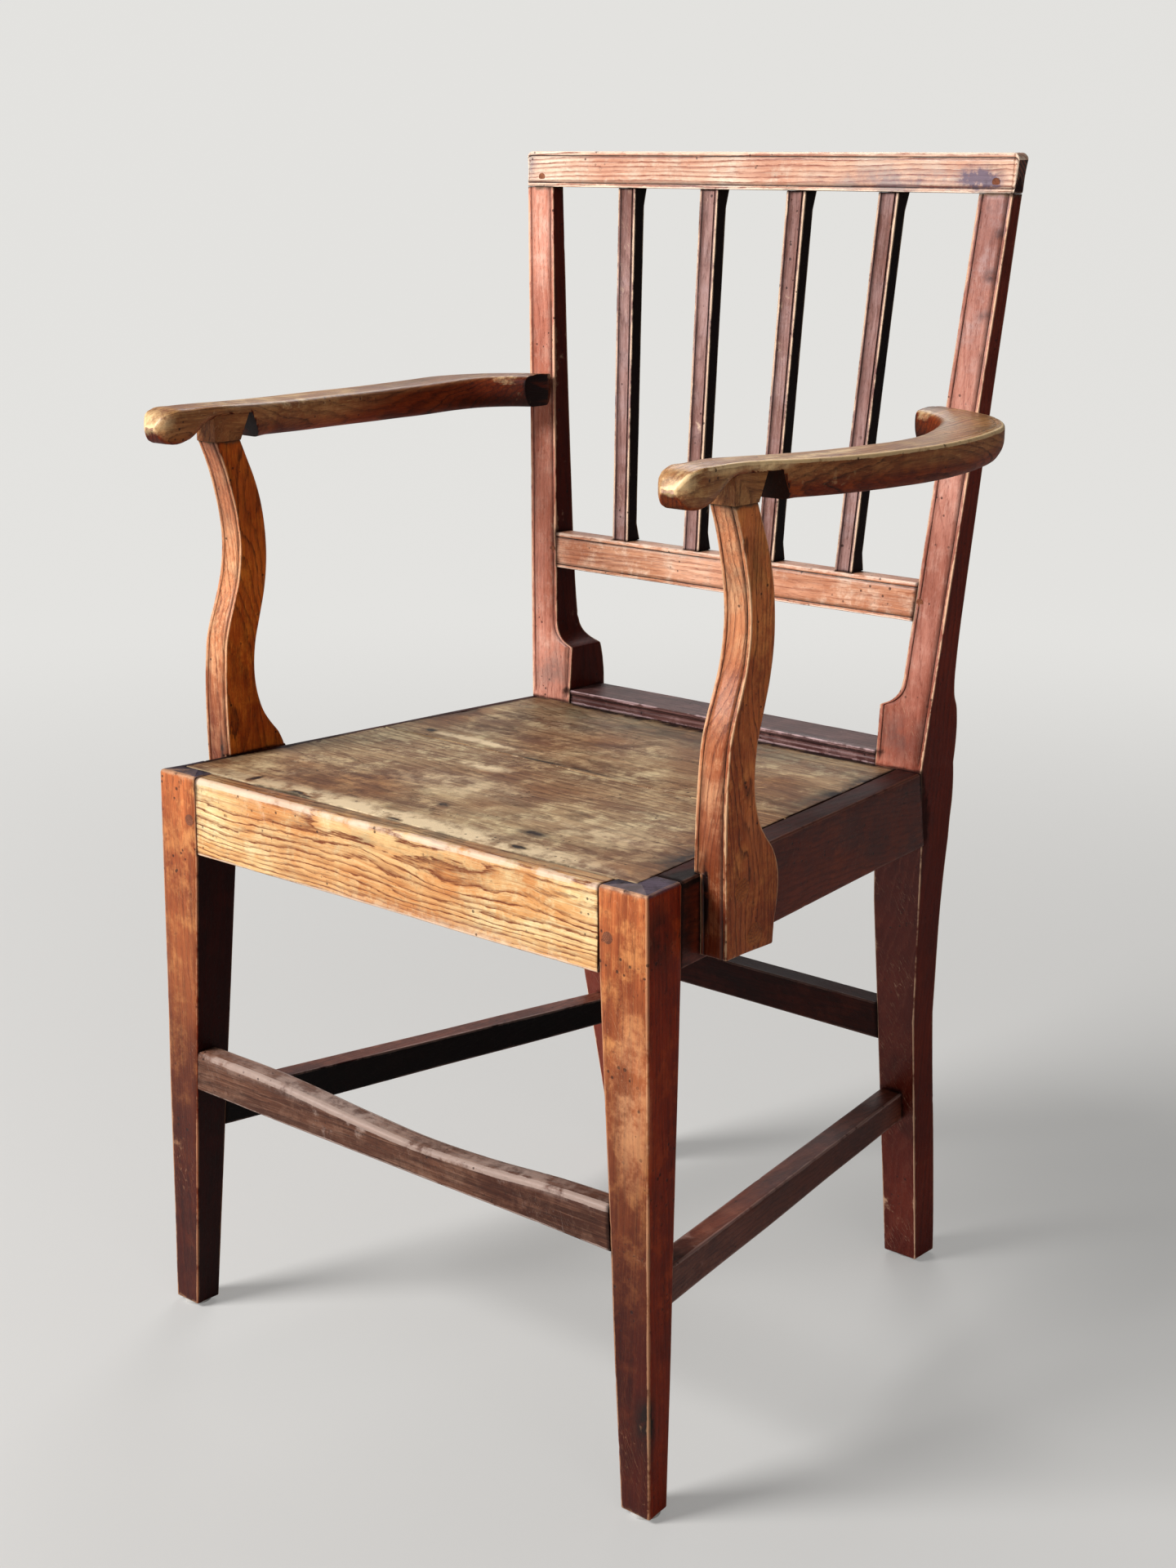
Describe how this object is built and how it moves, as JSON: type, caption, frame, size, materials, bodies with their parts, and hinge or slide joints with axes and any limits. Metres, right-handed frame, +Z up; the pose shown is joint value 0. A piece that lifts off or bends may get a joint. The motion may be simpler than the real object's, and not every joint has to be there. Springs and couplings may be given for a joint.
{
  "type": "armchair",
  "caption": "Provincial joined armchair with an open stick back, bowed arms on shaped supports, a boarded seat and square tapered legs with stretchers.",
  "frame": {"origin": "middle of the floor footprint, on the floor", "axes": "+Z up, +Y towards the back, +X to the sitter's left"},
  "size_m": [0.58, 0.4784, 0.903],
  "materials": {
    "frame_wood": "old waxed ash, reddish brown, worn satin",
    "rail_wood": "old waxed ash, orange brown with strong grain",
    "back_wood": "old waxed ash, salmon brown, worn",
    "stick_wood": "old stained ash, dark, with rubbed edges",
    "arm_wood": "hand-polished elm, golden brown",
    "seat_wood": "matte scrubbed elm, grey olive brown",
    "stretcher_wood": "old waxed ash, dark brown",
    "peg_wood": "end-grain oak, dark",
    "iron": "dull dark iron",
    "glide_white": "plain white, slightly scuffed"
  },
  "bodies": {
    "root": {"front_leg_left": "frame_wood", "front_leg_right": "frame_wood", "back_post_left": "back_wood", "back_post_right": "back_wood", "front_seat_rail": "rail_wood", "side_seat_rail_left": "frame_wood", "side_seat_rail_right": "frame_wood", "back_seat_rail": "frame_wood", "seat_board_front": "seat_wood", "seat_board_back": "seat_wood", "back_seat_cleat": "stretcher_wood", "cleat_screws": "iron", "seat_nails": "iron", "crest_rail": "back_wood", "mid_rail": "back_wood", "back_stick_1": "stick_wood", "back_stick_2": "stick_wood", "back_stick_3": "stick_wood", "back_stick_4": "stick_wood", "arm_left": "arm_wood", "arm_right": "arm_wood", "arm_support_left": "arm_wood", "arm_support_right": "arm_wood", "front_stretcher": "stretcher_wood", "back_stretcher": "stretcher_wood", "side_stretcher_left": "stretcher_wood", "side_stretcher_right": "stretcher_wood", "front_rail_pegs": "peg_wood", "crest_pegs": "peg_wood", "mid_rail_pegs": "peg_wood", "support_screws": "iron", "support_plugs": "peg_wood", "arm_screws": "iron", "arm_screw_plugs": "peg_wood", "foot_glides": "glide_white"}
  },
  "joints": []
}
